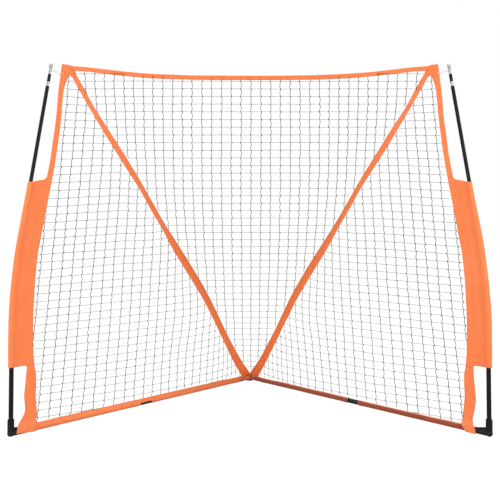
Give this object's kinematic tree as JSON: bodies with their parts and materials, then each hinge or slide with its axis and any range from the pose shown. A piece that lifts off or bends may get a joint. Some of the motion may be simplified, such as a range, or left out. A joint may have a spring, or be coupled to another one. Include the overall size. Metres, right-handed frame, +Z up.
{
  "type": "portable practice goal net",
  "caption": "Portable sports goal with a folding V-shaped floor frame, bowed side poles and a netting enclosure edged in bright fabric bands.",
  "frame": {"origin": "on the ground, on the axis of the rear corner's folding hinge", "axes": "+X to the right across the mouth, +Y away from the mouth towards the rear corner, +Z up"},
  "size_m": [2.0726, 1.0118, 1.6816],
  "materials": {
    "black_tube": "satin black coating",
    "black_plastic": "moulded, slightly grained",
    "bright_metal": "turned",
    "orange_fabric": "woven polyester",
    "black_netting": "knotted cord",
    "white_elastic": "braided elastic"
  },
  "bodies": {
    "left_half": {"elbow_left": "black_plastic", "base_tube_front_left": "black_tube", "base_coupler_left": "black_plastic", "base_tube_rear_left": "black_tube", "hinge_arm_left": "black_plastic", "hinge_pin": "bright_metal", "hinge_washer": "bright_metal", "pole_lower_left": "black_tube", "pole_upper_left": "black_tube", "tip_collar_left": "bright_metal", "tip_sleeve_left": "black_plastic", "tip_fork_left": "bright_metal", "corner_loop_left": "white_elastic", "pole_sleeve_left": "orange_fabric", "front_band_left": "orange_fabric", "low_band_left": "orange_fabric", "corner_patch_left": "orange_fabric", "seam_band_left": "orange_fabric", "base_sleeve_front_left": "orange_fabric", "base_sleeve_rear_left": "orange_fabric", "side_net_left": "black_netting", "top_band": "orange_fabric", "back_net": "black_netting"},
    "right_half": {"elbow_right": "black_plastic", "base_tube_front_right": "black_tube", "base_coupler_right": "black_plastic", "base_tube_rear_right": "black_tube", "hinge_arm_right": "black_plastic", "pole_lower_right": "black_tube", "pole_upper_right": "black_tube", "tip_collar_right": "bright_metal", "tip_sleeve_right": "black_plastic", "tip_fork_right": "bright_metal", "corner_loop_right": "white_elastic", "pole_sleeve_right": "orange_fabric", "front_band_right": "orange_fabric", "low_band_right": "orange_fabric", "corner_patch_right": "orange_fabric", "seam_band_right": "orange_fabric", "base_sleeve_front_right": "orange_fabric", "base_sleeve_rear_right": "orange_fabric", "side_net_right": "black_netting"}
  },
  "joints": [
    {"name": "frame_fold", "type": "hinge", "parent": "left_half", "child": "right_half", "pos_m": [0, 0, 0.013], "axis": [0, 0, -1], "range_deg": [0, 86], "deforming": ["back_net", "top_band"]}
  ]
}
